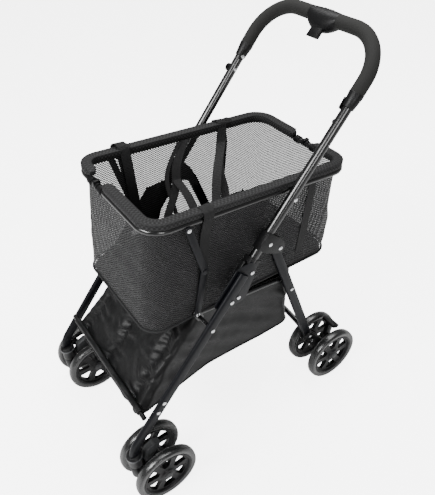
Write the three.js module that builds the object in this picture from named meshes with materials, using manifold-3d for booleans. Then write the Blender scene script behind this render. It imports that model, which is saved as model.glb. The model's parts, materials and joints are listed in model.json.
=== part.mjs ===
// A folding four-wheeled pet stroller with an open mesh carrier, in millimetres.
// +Z is up, +Y points to the rear, where the handle is, and X = 0 is the plane of symmetry.
// "left" is +X, the pusher's left, and "right" is -X. The ground is z = 0.
import * as THREE from "three";
import { mergeVertices } from "three/addons/utils/BufferGeometryUtils.js";
import Module from "manifold-3d";

const wasm = await Module();
wasm.setup();

// ---------- driving dimensions ----------
const GAP = 0.3; // between pieces that touch on the real object
const SIDES = [
  ["left", 1],
  ["right", -1],
];

// Layers across the width: each piece of the folding frame keeps to its own band of X on either side.
const TUBE_X = 182; // upper frame tube, centre
const TUBE_R = 10.5;
const LEG_X = [196, 209]; // lower front leg, flat oval tube
const LEG_DEPTH = 25;
const BRACKET_X = [193, 195.6];
const REAR_LEG_X = [157.5, 170.5];
const REAR_LEG_DEPTH = 24;
const STRUT_LOWER_X = [163.4, 166.6];
const STRUT_UPPER_X = [167, 170];
const BASE_END_X = [154.5, 162.8];

// Pivots of the fold, as (y, z).
const FOLD_PIVOT = [-34, 479];
const BASE_PIVOT = [-116, 440];
const REAR_PIVOT = [81, 561];
const BASE_REAR_RIVET = [144, 378];
const RIM_PIVOT = [121, 669];
const STRUT_RIM_PIVOT = [-125, 693];
const STRUT_KNEE = [-97, 572];
const STRUT_BASE_PIVOT = [-123, 457];

// Upper tubes: one U, whose two arms lean back by TUBE_LEAN from the vertical.
const TUBE_LEAN = THREE.MathUtils.degToRad(41.47);
const COLLAR = [268, 842]; // lower end of the foam grips
const HANDLE_REACH = 133; // from the collar to the axis of the crossbar, along the tube
const HANDLE_CORNER = 92;
const TUBE_FOOT = -438; // lower end of the tube, inside its socket
const SOCKET_TOP = -378;
const MOUNT_S = [-356, -313]; // the leg mount's reach along the tube
const GRIP_R = 16;
const POD_HALF = 42;

// Front legs and casters.
const LEG_TOP = [-22, 546];
const SWIVEL = [-348, 196]; // y and |x| of the swivel axis
const LEG_FOOT_Z = 160;
const FRONT_AXLE = [-293, 80];
const CROSSBAR = [-302, 256];
const CROSSBAR_R = 6;

// Rear legs.
const REAR_FOOT = [223, 138];
const REAR_AXLE = [270, 80];
const REAR_HUB_X = 169;
const PEDAL_PIVOT = [291, 106];

// Wheels.
const WHEEL_R = 80;
const TYRE_DEPTH = 15;
const TYRE_W = 24;
const PAIR_HALF = 42;
const AXLE_R = 4;
const HUB_BORE_R = 4.3;
const SPOKES = 6;

// Carrier and storage, all soft.
const RIM_TILT = THREE.MathUtils.degToRad(-5.6);
const RIM_CENTRE = [48, 685];
const RIM_HALF = [160, 256]; // half width and half length of the rim tube's centre line
const RIM_CORNER = 44;
const RIM_R = 6;
const BAG_HALF_X = 153.5;
const BAG_HALF_Y = 251;
const BAG_FLOOR_Y = 15; // middle of the floor; the bag leans back to meet the rim
const BAG_FLOOR_Z = 450;
const BAG_LEAN = (RIM_CENTRE[0] - BAG_FLOOR_Y) / (RIM_CENTRE[1] - BAG_FLOOR_Z);
const BAG_WALL = 3;
const BAND_DEPTH = 11;
const PAD_DEPTH = 12;
const BASE_HALF_X = 147;
const BASE_R = 7;
const BASE_REAR = [176, 400];

// ---------- materials ----------
const finish = (color, roughness, metalness = 0) =>
  new THREE.MeshStandardMaterial({ color, roughness, metalness });
const glossPaint = () => finish(0x101114, 0.22, 0.5);
const satinPaint = () => finish(0x14151a, 0.45, 0.4);
const plastic = () => finish(0x15161a, 0.5);
const steel = () => finish(0xb9bcc2, 0.3, 1);
const foam = () => finish(0x26282c, 0.95);
const rubber = () => finish(0x2a2c2c, 0.6);
const greyPlastic = () => finish(0x6c6f73, 0.5);
const mesh = () => finish(0x1c1d20, 0.9);
const nylon = () => finish(0x131416, 0.7);

// ---------- shape helpers ----------
const v3 = (x, y, z) => new THREE.Vector3(x, y, z);
const across = (side, [low, high]) => (side > 0 ? [low, high] : [-high, -low]);

function bare(geometry) {
  const g = geometry.clone();
  g.deleteAttribute("normal");
  g.deleteAttribute("uv");
  return mergeVertices(g, 1e-4);
}

function solid(geometry) {
  const g = bare(geometry);
  return new wasm.Manifold(
    new wasm.Mesh({
      numProp: 3,
      vertProperties: g.attributes.position.array,
      triVerts: new Uint32Array(g.index.array),
    }),
  );
}

function geometryOf(manifold) {
  const m = manifold.getMesh();
  return new THREE.BufferGeometry()
    .setAttribute("position", new THREE.BufferAttribute(m.vertProperties, 3))
    .setIndex(new THREE.BufferAttribute(m.triVerts, 1));
}

function join(first, ...rest) {
  return geometryOf(rest.reduce((sum, g) => sum.add(solid(g)), solid(first)));
}

function cut(first, ...rest) {
  return geometryOf(rest.reduce((sum, g) => sum.subtract(solid(g)), solid(first)));
}

// Puts geometry drawn in (y, z) and extruded along its own z axis between two values of X.
function standInYZ(geometry, low) {
  geometry.applyMatrix4(new THREE.Matrix4().makeBasis(v3(0, 1, 0), v3(0, 0, 1), v3(1, 0, 0)));
  return geometry.translate(low, 0, 0);
}

function plate(points, [low, high]) {
  const shape = new THREE.Shape(points.map(([y, z]) => new THREE.Vector2(y, z)));
  const flat = new THREE.ExtrudeGeometry(shape, { depth: high - low, bevelEnabled: false });
  return standInYZ(flat, low);
}

// A flat link with round ends, from pivot a to pivot b.
function link(a, b, halfWidth, [low, high]) {
  const from = new THREE.Vector2(...a);
  const to = new THREE.Vector2(...b);
  const heading = to.clone().sub(from).angle();
  const shape = new THREE.Shape();
  shape.absarc(from.x, from.y, halfWidth, heading + Math.PI / 2, heading + 1.5 * Math.PI);
  shape.absarc(to.x, to.y, halfWidth, heading - Math.PI / 2, heading + Math.PI / 2);
  const flat = new THREE.ExtrudeGeometry(shape, {
    depth: high - low,
    bevelEnabled: false,
    curveSegments: 5,
  });
  return standInYZ(flat, low);
}

function pinAlongX([y, z], r, [low, high], sides = 16) {
  return new THREE.CylinderGeometry(r, r, high - low, sides)
    .rotateZ(Math.PI / 2)
    .translate((low + high) / 2, y, z);
}

function block([x0, x1], [y0, y1], [z0, z1]) {
  return new THREE.BoxGeometry(x1 - x0, y1 - y0, z1 - z0)
    .translate((x0 + x1) / 2, (y0 + y1) / 2, (z0 + z1) / 2);
}

// A closed ring turned about the Y axis from (radius, height) points that run anticlockwise.
function turned(points, sides) {
  return new THREE.LatheGeometry(
    [...points, points[0]].map(([r, h]) => new THREE.Vector2(r, h)),
    sides,
  );
}

const ringPoints = (inner, outer, low, high) => [
  [inner, low],
  [outer, low],
  [outer, high],
  [inner, high],
];

// A path of straight runs whose corners are rounded by circular-like curves.
function roundedPath(points, corner) {
  const path = new THREE.CurvePath();
  let start = points[0];
  for (let i = 1; i < points.length - 1; i++) {
    const before = points[i - 1].clone().sub(points[i]).setLength(corner).add(points[i]);
    const after = points[i + 1].clone().sub(points[i]).setLength(corner).add(points[i]);
    path.add(new THREE.LineCurve3(start, before));
    const inward = (p) => p.clone().lerp(points[i], 0.55);
    path.add(new THREE.CubicBezierCurve3(before, inward(before), inward(after), after));
    start = after;
  }
  path.add(new THREE.LineCurve3(start, points[points.length - 1]));
  return path;
}

function circleSection(r, sides, hole = 0) {
  const ring = (radius) =>
    Array.from({ length: sides }, (_, i) => {
      const turn = (2 * Math.PI * (i + 0.5)) / sides;
      return new THREE.Vector2(radius * Math.cos(turn), radius * Math.sin(turn));
    });
  const shape = new THREE.Shape(ring(r));
  if (hole) shape.holes.push(new THREE.Path(ring(hole).reverse()));
  return shape;
}

function sweep(section, extrudePath, steps) {
  return new THREE.ExtrudeGeometry(section, { steps, extrudePath, bevelEnabled: false });
}

// A section that is thin along X and deep along the plane of the path.
function flatOval(thickness, depth) {
  const r = thickness / 2;
  const flat = depth / 2 - r;
  const shape = new THREE.Shape();
  shape.absarc(0, flat, r, 0, Math.PI);
  shape.absarc(0, -flat, r, Math.PI, 2 * Math.PI);
  return new THREE.Shape(shape.getPoints(3).slice(0, -1));
}

// A point of the tube's plane: s along the tube, up from the collar, and w behind its axis.
const along = (s, w = 0) => [
  COLLAR[0] + s * Math.sin(TUBE_LEAN) + w * Math.cos(TUBE_LEAN),
  COLLAR[1] + s * Math.cos(TUBE_LEAN) - w * Math.sin(TUBE_LEAN),
];
const onTube = (x, s) => v3(x, ...along(s));

// ---------- wheels ----------
function tyreGeometry() {
  const half = TYRE_W / 2;
  const inner = WHEEL_R - TYRE_DEPTH;
  const profile = [
    [inner, -half + 2],
    [WHEEL_R - 7, -half],
    [WHEEL_R - 2, -half + 4],
    [WHEEL_R, 0],
    [WHEEL_R - 2, half - 4],
    [WHEEL_R - 7, half],
    [inner, half - 2],
  ];
  return turned(profile, 28).rotateZ(Math.PI / 2);
}

function hubGeometry() {
  const rimOuter = WHEEL_R - TYRE_DEPTH - GAP;
  const rim = turned(ringPoints(rimOuter - 7, rimOuter, -9, 9), 28).rotateZ(Math.PI / 2);
  const boss = turned(ringPoints(HUB_BORE_R, 15, -11, 11), 12).rotateZ(Math.PI / 2);
  const spoke = (i) =>
    new THREE.BoxGeometry(7, rimOuter - 16, 9)
      .translate(0, (rimOuter + 8) / 2, 0)
      .rotateX((i * 2 * Math.PI) / SPOKES);
  const spokes = Array.from({ length: SPOKES }, (_, i) => spoke(i));
  return join(rim, boss, ...spokes);
}

const tyreShape = tyreGeometry();
const hubShape = hubGeometry();

function addWheel(parent, name, x, [y, z]) {
  for (const [kind, shape, material] of [
    ["tyre", tyreShape, rubber()],
    ["hub", hubShape, plastic()],
  ]) {
    const piece = new THREE.Mesh(shape, material);
    piece.name = `${name}_${kind}`;
    piece.position.set(x, y, z);
    parent.add(piece);
  }
}

function add(parent, name, geometry, material) {
  const piece = new THREE.Mesh(geometry, material);
  piece.name = name;
  parent.add(piece);
}

// ---------- handle: the U tube and what rides on it ----------
function handleSweep(r) {
  const corner = (x) => onTube(x, HANDLE_REACH);
  const foot = (x) => onTube(x, TUBE_FOOT);
  const path = roundedPath(
    [foot(TUBE_X), corner(TUBE_X), corner(-TUBE_X), foot(-TUBE_X)],
    HANDLE_CORNER,
  );
  return sweep(circleSection(r, 10), path, 52);
}

const handleBar = () => join(handleSweep(TUBE_R), accessoryStud());

function grip(side) {
  const path = roundedPath(
    [
      onTube(side * TUBE_X, 16),
      onTube(side * TUBE_X, HANDLE_REACH),
      onTube(side * (POD_HALF + GAP), HANDLE_REACH),
    ],
    HANDLE_CORNER,
  );
  return cut(sweep(circleSection(GRIP_R, 10), path, 14), handleSweep(TUBE_R + GAP));
}

function collar(side) {
  const hole = TUBE_R + GAP;
  const ring = turned([[hole, -18], [13, -18], [15.5, 10], [15.5, 15.4], [hole, 15.4]], 20);
  return ring
    .rotateX(Math.PI / 2 - TUBE_LEAN)
    .translate(side * TUBE_X, ...COLLAR);
}

function handlePod() {
  const [y, z] = along(HANDLE_REACH);
  const casing = new THREE.Shape();
  casing.absellipse(y, z, 18, 15.9, 0, 2 * Math.PI, false, Math.PI / 2 - TUBE_LEAN);
  const body = new THREE.ExtrudeGeometry(casing, {
    depth: 2 * POD_HALF,
    bevelEnabled: false,
    curveSegments: 12,
  });
  return cut(
    standInYZ(body, -POD_HALF),
    pinAlongX([y, z], TUBE_R + GAP, [-POD_HALF - 1, POD_HALF + 1], 20),
  );
}

function releasePaddle() {
  const pivot = along(HANDLE_REACH - 23, -2);
  const tip = along(HANDLE_REACH - 50, -7);
  return join(link(pivot, tip, 4, [-20, 20]), pinAlongX(pivot, 5, [-24, 24]));
}

// A bore through which the upper tube passes, from s = low upwards.
function tubeBore(side, low) {
  return new THREE.CylinderGeometry(TUBE_R + GAP, TUBE_R + GAP, 200, 20)
    .translate(0, 100, 0)
    .rotateX(Math.PI / 2 - TUBE_LEAN)
    .translate(side * TUBE_X, ...along(low));
}

function tubeSocket(side) {
  const front = -14;
  const back = 15;
  const sleeve = [
    along(TUBE_FOOT - 4, front),
    along(TUBE_FOOT - 4, back),
    along(SOCKET_TOP, back),
    along(SOCKET_TOP, front),
  ];
  const cheek = [...sleeve.slice(2), along(-466, front), along(-474, back)];
  const body = join(
    plate(sleeve, across(side, [170.4, 192.6])),
    plate(cheek, across(side, [173, 192.6])),
    link(FOLD_PIVOT, along(-440, 2), 13, across(side, [173, 192.6])),
  );
  return cut(body, tubeBore(side, TUBE_FOOT - GAP));
}

function foldLock(side) {
  return new THREE.BoxGeometry(12, 9, 30)
    .rotateX(-TUBE_LEAN)
    .translate(side * TUBE_X, ...along(-406, -19));
}

// The collar that clamps the upper tube and carries the rear leg's top pivot.
function legMount(side) {
  const [ry, rz] = REAR_PIVOT;
  const [low, high] = MOUNT_S;
  const body = plate(
    [
      along(high, -14),
      along(low, -14),
      along(low, 16),
      [ry - 8, rz - 12],
      [ry + 5, rz - 13],
      [ry + 13, rz - 3],
      [ry + 12, rz + 8],
      along(high, 30),
    ],
    across(side, [173, 195.5]),
  );
  const boss = pinAlongX(REAR_PIVOT, 9, across(side, [170.8, 175]));
  return join(cut(body, tubeBore(side, low - 80)), boss);
}

// A stud riveted to the outside of the right arm, for hanging a bag.
function accessoryStud() {
  return pinAlongX(along(-52), 9, [-TUBE_X - TUBE_R - 9, -TUBE_X - TUBE_R + 4]);
}

// ---------- front frame ----------
function frontLeg(side) {
  const x = side * (LEG_X[0] + LEG_X[1]) / 2;
  const bend = LEG_TOP[1] - (LEG_TOP[0] - SWIVEL[0]) / Math.tan(TUBE_LEAN);
  const path = roundedPath(
    [v3(x, ...LEG_TOP), v3(x, SWIVEL[0], bend), v3(x, SWIVEL[0], LEG_FOOT_Z)],
    Math.min(70, bend - LEG_FOOT_Z - 1),
  );
  return sweep(flatOval(LEG_X[1] - LEG_X[0], LEG_DEPTH), path, 16);
}

function foldBracket(side) {
  return plate(
    [
      [-62, 530],
      [-22, 560],
      [2, 560],
      [6, 530],
      [-16, 466],
      [-44, 462],
      [-72, 474],
      [-94, 478],
      [-98, 490],
    ],
    across(side, BRACKET_X),
  );
}

function casterSocket(side) {
  const profile = [
    [0, 118],
    [17, 118],
    [17, 148],
    [19, 151],
    [19, 155],
    [15, LEG_FOOT_Z - GAP],
    [0, LEG_FOOT_Z - GAP],
  ];
  return new THREE.LatheGeometry(profile.map(([r, h]) => new THREE.Vector2(r, h)), 20)
    .rotateX(Math.PI / 2)
    .translate(side * (SWIVEL[1] + 3), SWIVEL[0], 0);
}

function casterFork(side) {
  const x = side * (SWIVEL[1] + 3);
  const barrel = new THREE.CylinderGeometry(17, 15, 42, 20)
    .rotateX(Math.PI / 2)
    .translate(x, SWIVEL[0], 96.5);
  const arm = link([SWIVEL[0] + 4, 92], FRONT_AXLE, 14, [x - 10, x + 10]);
  const boss = pinAlongX(FRONT_AXLE, 13, [x - 29, x + 29], 20);
  const bore = pinAlongX(FRONT_AXLE, AXLE_R + GAP, [x - 40, x + 40], 18);
  return cut(join(barrel, arm, boss), bore);
}

function casterLock(side) {
  const x = side * (SWIVEL[1] + 3);
  return plate(
    [
      [-328, 112],
      [-312, 111],
      [-286, 140],
      [-280, 154],
      [-296, 162],
      [-318, 152],
      [-328, 130],
    ],
    [x - 9, x + 9],
  );
}

function axle([y, z], x) {
  return pinAlongX([y, z], AXLE_R, [x - PAIR_HALF - 14, x + PAIR_HALF + 14], 18);
}

// ---------- rear frame ----------
function rearLeg(side) {
  return link(REAR_PIVOT, REAR_FOOT, REAR_LEG_DEPTH / 2, across(side, REAR_LEG_X));
}

function rearBracket(side) {
  const cheek = (band) =>
    link([211, 156], REAR_AXLE, 15, across(side, band));
  const x = side * REAR_HUB_X;
  const arm = link(REAR_AXLE, PEDAL_PIVOT, 7, across(side, [171, 178]));
  const boss = pinAlongX(REAR_AXLE, 13, [x - 28.5, x + 28.5], 20);
  const bore = pinAlongX(REAR_AXLE, AXLE_R + GAP, [x - 40, x + 40], 18);
  return cut(join(cheek([171, 178]), cheek([149.5, 157]), arm, boss), bore);
}

function brakePedal(side) {
  const [y, z] = PEDAL_PIVOT;
  const stem = link(PEDAL_PIVOT, [y + 10, z + 42], 6, across(side, [158, 170.2]));
  const tread = link([y + 4, z + 50], [y + 16, z + 44], 6, across(side, [147, 190]));
  return join(stem, tread);
}

function rearCrossbar() {
  const end = REAR_LEG_X[0] - 1.5; // its ends are square to the arch, so they keep a little more room
  const path = new THREE.CatmullRomCurve3([
    v3(end, 206, 180),
    v3(end - 30, 206, 184),
    v3(0, 206, 196),
    v3(-end + 30, 206, 184),
    v3(-end, 206, 180),
  ]);
  return sweep(circleSection(7.5, 10), path, 12);
}

// ---------- base bar, under the carrier ----------
function baseBar() {
  const front = (x) => v3(x, BASE_PIVOT[0] + 8, BASE_PIVOT[1] - 1);
  const rear = (x) => v3(x, ...BASE_REAR);
  const path = roundedPath(
    [front(BASE_HALF_X), rear(BASE_HALF_X), rear(-BASE_HALF_X), front(-BASE_HALF_X)],
    58,
  );
  const ends = SIDES.flatMap(([, side]) => [
    link(BASE_PIVOT, STRUT_BASE_PIVOT, 8, across(side, BASE_END_X)),
    link(BASE_PIVOT, [BASE_PIVOT[0] + 40, BASE_PIVOT[1] - 5], 6, across(side, [150, 158])),
    pinAlongX(BASE_PIVOT, 5, across(side, [158, LEG_X[0] - GAP])),
    link(BASE_REAR_RIVET, [BASE_REAR_RIVET[0], 404], 7, across(side, [150, 157])),
  ]);
  return join(sweep(circleSection(BASE_R, 10), path, 40), ...ends);
}

// ---------- carrier: rim, knee struts and the mesh bag ----------
const rimPlace = (geometry) => geometry.rotateX(RIM_TILT).translate(0, ...RIM_CENTRE);

function roundedRectangle(halfX, halfY, r, segments = 3) {
  const shape = new THREE.Shape();
  shape.absarc(halfX - r, halfY - r, r, 0, Math.PI / 2);
  shape.absarc(-halfX + r, halfY - r, r, Math.PI / 2, Math.PI);
  shape.absarc(-halfX + r, -halfY + r, r, Math.PI, 1.5 * Math.PI);
  shape.absarc(halfX - r, -halfY + r, r, 1.5 * Math.PI, 2 * Math.PI);
  return shape.getPoints(segments).slice(0, -1);
}

function ringBox(halfX, halfY, corner, wall, depth) {
  const shape = new THREE.Shape(roundedRectangle(halfX, halfY, corner));
  const hole = roundedRectangle(halfX - wall, halfY - wall, corner - wall);
  shape.holes.push(new THREE.Path(hole.reverse()));
  return new THREE.ExtrudeGeometry(shape, { depth, bevelEnabled: false });
}

function rimTube() {
  const outline = roundedRectangle(...RIM_HALF, RIM_CORNER, 4);
  const points = outline.map((p) => v3(p.x, p.y, 0));
  const tube = rimPlace(ringTube(points, RIM_R, 10));
  const tabs = SIDES.flatMap(([, side]) => [
    link(STRUT_RIM_PIVOT, [STRUT_RIM_PIVOT[0], STRUT_RIM_PIVOT[1] + 8], 7, across(side, [160, 166.7])),
    link(RIM_PIVOT, [RIM_PIVOT[0], RIM_PIVOT[1] + 8], 7, across(side, [160, 171])),
  ]);
  return join(tube, ...tabs);
}

// A closed tube through a flat loop of points, with its section square to the loop at each point.
function ringTube(points, r, sides) {
  const at = (i) => points[(i + points.length) % points.length];
  const position = [];
  points.forEach((p, i) => {
    const before = p.clone().sub(at(i - 1)).normalize();
    const after = at(i + 1).clone().sub(p).normalize();
    const outward = before.add(after).normalize().cross(v3(0, 0, 1));
    for (let k = 0; k < sides; k++) {
      const turn = (2 * Math.PI * k) / sides;
      const offset = outward.clone().multiplyScalar(r * Math.cos(turn));
      position.push(p.x + offset.x, p.y + offset.y, p.z + r * Math.sin(turn));
    }
  });
  const index = [];
  for (let i = 0; i < points.length; i++) {
    const next = (i + 1) % points.length;
    for (let k = 0; k < sides; k++) {
      const up = (k + 1) % sides;
      const [a, b, c, d] = [i * sides + k, next * sides + k, next * sides + up, i * sides + up];
      index.push(a, b, c, a, c, d);
    }
  }
  return new THREE.BufferGeometry()
    .setAttribute("position", new THREE.Float32BufferAttribute(position, 3))
    .setIndex(index);
}

function carrierBag() {
  const shell = (inset, floor) => {
    const shape = new THREE.Shape(
      roundedRectangle(BAG_HALF_X - inset, BAG_HALF_Y - inset, 42 - inset),
    );
    const body = new THREE.ExtrudeGeometry(shape, { depth: 400, bevelEnabled: false });
    body.translate(0, BAG_FLOOR_Y, floor);
    const lean = new THREE.Matrix4().set(
      1, 0, 0, 0,
      0, 1, BAG_LEAN, -BAG_LEAN * BAG_FLOOR_Z,
      0, 0, 1, 0,
      0, 0, 0, 1,
    );
    return body.applyMatrix4(lean);
  };
  const bandTop = RIM_R + GAP + BAND_DEPTH;
  const above = rimPlace(block([-400, 400], [-500, 500], [bandTop, 500]));
  const walls = cut(shell(0, BAG_FLOOR_Z), shell(BAG_WALL, BAG_FLOOR_Z + BAG_WALL), above);
  const band = ringBox(RIM_HALF[0] + 3, RIM_HALF[1] + 3, RIM_CORNER, 16, BAND_DEPTH);
  return join(walls, rimPlace(band.translate(0, 0, RIM_R + GAP)));
}

function floorPad() {
  const shape = new THREE.Shape(roundedRectangle(BAG_HALF_X - 8, BAG_HALF_Y - 16, 40));
  return new THREE.ExtrudeGeometry(shape, { depth: PAD_DEPTH, bevelEnabled: false })
    .translate(0, BAG_FLOOR_Y + 1, BAG_FLOOR_Z + BAG_WALL + GAP);
}

function strutUpper(side) {
  return link(STRUT_RIM_PIVOT, STRUT_KNEE, 8, across(side, STRUT_UPPER_X));
}

function strutLower(side) {
  return link(STRUT_KNEE, STRUT_BASE_PIVOT, 8, across(side, STRUT_LOWER_X));
}

// The storage bag under the carrier: open at the top, with a wider slanted front between the legs.
function storageBasket() {
  const outer = [
    [-290, 250],
    [-120, 236],
    [146, 244],
    [138, 384],
    [-92, 412],
    [-128, 408],
  ];
  const inner = [
    [-281, 256],
    [-120, 240],
    [142, 248],
    [134, 500],
    [-20, 500],
    [-90, 440],
  ];
  const frontOuter = [outer[0], [-135, 237], [-135, 401]];
  const frontInner = [inner[0], [-130, 241], [-130, 401]];
  return cut(
    join(plate(outer, [-149, 149]), plate(frontOuter, [-158, 158])),
    plate(inner, [-145, 145]),
    plate(frontInner, [-154, 154]),
  );
}

// ---------- assembly ----------
const stroller = new THREE.Group();

function addFrontFrame() {
  const frame = new THREE.Group();
  for (const [name, side] of SIDES) {
    add(frame, `front_leg_${name}`, frontLeg(side), satinPaint());
    add(frame, `fold_bracket_${name}`, foldBracket(side), satinPaint());
    add(frame, `caster_socket_${name}`, casterSocket(side), plastic());
    add(frame, `caster_fork_${name}`, casterFork(side), plastic());
    add(frame, `caster_lock_${name}`, casterLock(side), greyPlastic());
    const x = side * (SWIVEL[1] + 3);
    add(frame, `front_axle_${name}`, axle(FRONT_AXLE, x), steel());
    addWheel(frame, `front_${name}_outer`, x + side * PAIR_HALF, FRONT_AXLE);
    addWheel(frame, `front_${name}_inner`, x - side * PAIR_HALF, FRONT_AXLE);
  }
  const reach = LEG_X[0] - GAP;
  add(frame, "front_crossbar", pinAlongX(CROSSBAR, CROSSBAR_R, [-reach, reach]), satinPaint());
  add(frame, "storage_basket", storageBasket(), nylon());
  return frame;
}

function addHandle() {
  const handle = new THREE.Group();
  add(handle, "handle_bar", handleBar(), glossPaint());
  add(handle, "handle_pod", handlePod(), plastic());
  add(handle, "release_paddle", releasePaddle(), plastic());
  for (const [name, side] of SIDES) {
    add(handle, `handle_grip_${name}`, grip(side), foam());
    add(handle, `grip_collar_${name}`, collar(side), plastic());
    add(handle, `tube_socket_${name}`, tubeSocket(side), plastic());
    add(handle, `fold_lock_${name}`, foldLock(side), plastic());
    add(handle, `leg_mount_${name}`, legMount(side), plastic());
  }
  return handle;
}

function addRearFrame() {
  const rear = new THREE.Group();
  add(rear, "rear_crossbar", rearCrossbar(), glossPaint());
  for (const [name, side] of SIDES) {
    const x = side * REAR_HUB_X;
    add(rear, `rear_leg_${name}`, rearLeg(side), satinPaint());
    add(rear, `rear_bracket_${name}`, rearBracket(side), plastic());
    add(rear, `brake_pedal_${name}`, brakePedal(side), plastic());
    add(rear, `rear_axle_${name}`, axle(REAR_AXLE, x), steel());
    addWheel(rear, `rear_${name}_outer`, x + side * PAIR_HALF, REAR_AXLE);
    addWheel(rear, `rear_${name}_inner`, x - side * PAIR_HALF, REAR_AXLE);
  }
  return rear;
}

function addCarrier() {
  const carrier = new THREE.Group();
  add(carrier, "base_bar", baseBar(), glossPaint());
  add(carrier, "rim_tube", rimTube(), glossPaint());
  add(carrier, "carrier_bag", carrierBag(), mesh());
  add(carrier, "floor_pad", floorPad(), nylon());
  for (const [name, side] of SIDES) {
    add(carrier, `strut_upper_${name}`, strutUpper(side), satinPaint());
    add(carrier, `strut_lower_${name}`, strutLower(side), satinPaint());
  }
  return carrier;
}

stroller.add(addFrontFrame(), addHandle(), addRearFrame(), addCarrier());

export default stroller;
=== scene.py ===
"""The looks of a folding pet stroller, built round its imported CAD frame. Lengths are in metres."""
import json
import math

import bpy
from mathutils import Matrix, Vector, noise


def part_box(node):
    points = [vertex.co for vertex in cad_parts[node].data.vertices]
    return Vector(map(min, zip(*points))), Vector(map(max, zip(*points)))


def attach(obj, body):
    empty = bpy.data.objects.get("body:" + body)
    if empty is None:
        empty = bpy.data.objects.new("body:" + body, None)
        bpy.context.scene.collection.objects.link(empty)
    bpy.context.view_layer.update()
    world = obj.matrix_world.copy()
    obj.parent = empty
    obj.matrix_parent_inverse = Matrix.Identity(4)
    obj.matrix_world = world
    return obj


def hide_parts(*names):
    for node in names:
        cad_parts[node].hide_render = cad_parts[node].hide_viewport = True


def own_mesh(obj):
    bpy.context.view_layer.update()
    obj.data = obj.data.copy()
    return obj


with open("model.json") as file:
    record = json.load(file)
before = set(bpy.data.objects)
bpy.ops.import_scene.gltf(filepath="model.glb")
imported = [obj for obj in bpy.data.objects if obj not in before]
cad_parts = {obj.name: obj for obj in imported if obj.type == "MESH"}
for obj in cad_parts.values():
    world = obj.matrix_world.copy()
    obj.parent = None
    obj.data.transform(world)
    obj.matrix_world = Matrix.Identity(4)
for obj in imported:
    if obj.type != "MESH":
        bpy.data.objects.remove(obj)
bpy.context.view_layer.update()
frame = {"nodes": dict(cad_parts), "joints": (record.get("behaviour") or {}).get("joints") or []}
pivot = {j["name"]: Vector(j["pos_m"]) for j in frame["joints"] if "pos_m" in j}
SIDES = (("left", 1), ("right", -1))


# ---------- studio ----------
def aim(yaw, pitch, roll):
    """The turn of a camera that looks along yaw, from +Y towards -X, and pitch, then rolls."""
    ahead = Vector(
        (-math.sin(yaw) * math.cos(pitch), math.cos(yaw) * math.cos(pitch), math.sin(pitch))
    )
    right = ahead.cross(Vector((0, 0, 1))).normalized()
    up = right.cross(ahead)
    turned = right * math.cos(roll) + up * math.sin(roll)
    upright = up * math.cos(roll) - right * math.sin(roll)
    return Matrix((turned, upright, -ahead)).transposed().to_euler()


CAMERA_PLACE = (0.891, -0.519, 1.342)
CAMERA_AIM = (57.754, -40.227, -3.539)
CAMERA_LENS = 40.06
WHITE = (1, 1, 1, 1)
BACKDROP_GLOW = 5.0
ROOM_LIGHT = 0.3


def backdrop(tree, light=0.0):
    """A strength that is light for the object and a glow where the camera sees it straight."""
    seen = tree.nodes.new("ShaderNodeLightPath").outputs["Is Camera Ray"]
    return put(
        tree, "ShaderNodeMath", {0: seen, 1: BACKDROP_GLOW, 2: light}, operation="MULTIPLY_ADD"
    ).outputs[0]


def studio():
    bpy.ops.object.camera_add(
        location=CAMERA_PLACE, rotation=aim(*(math.radians(turn) for turn in CAMERA_AIM))
    )
    camera = bpy.context.object
    camera.data.lens = CAMERA_LENS
    camera.data.clip_start = 0.05
    bpy.context.scene.camera = camera

    bpy.ops.mesh.primitive_plane_add(size=14, location=(0, 0, -0.0005))
    floor = bpy.context.object
    floor.name = "studio_floor"
    pale = bpy.data.materials.new("pale floor")
    pale.use_nodes = True
    tree = pale.node_tree
    feed(tree, tree.nodes["Principled BSDF"], {
        "Base Color": (0.92, 0.92, 0.92, 1), "Roughness": 0.8,
        "Emission Color": WHITE, "Emission Strength": backdrop(tree),
    })
    floor.data.materials.append(pale)

    world = bpy.data.worlds.new("soft white room")
    world.use_nodes = True
    tree = world.node_tree
    feed(tree, tree.nodes["Background"], {"Color": WHITE, "Strength": backdrop(tree, ROOM_LIGHT)})
    bpy.context.scene.world = world
    for name, place, target, size, power in (
        ("key softbox", (0.2, -2.2, 2.4), (0, 0, 0.5), (1.3, 0.8), 100),
        ("side softbox", (2.6, -0.6, 1.9), (0, 0, 0.4), (0.7, 1.2), 34),
        ("overhead softbox", (-0.5, 0.6, 3.0), (0, 0, 0.3), (2.0, 2.0), 95),
    ):
        bpy.ops.object.light_add(type="AREA", location=place)
        lamp = bpy.context.object
        lamp.name = name
        lamp.data.shape = "RECTANGLE"
        lamp.data.size, lamp.data.size_y = size
        lamp.data.energy = power
        lamp.rotation_euler = (Vector(target) - Vector(place)).to_track_quat("-Z", "Y").to_euler()


# ---------- finishes ----------
def feed(tree, node, inputs):
    """Gives a node's inputs their values, or links them where they are sockets."""
    for key, value in inputs.items():
        if isinstance(value, bpy.types.NodeSocket):
            tree.links.new(value, node.inputs[key])
        else:
            node.inputs[key].default_value = value
    return node


def put(tree, kind, inputs=None, **settings):
    """Adds a shader node with its settings and inputs."""
    made = tree.nodes.new(kind)
    made.location = (len(tree.nodes) * 190, 0)
    for key, value in settings.items():
        setattr(made, key, value)
    return feed(tree, made, inputs or {})


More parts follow.
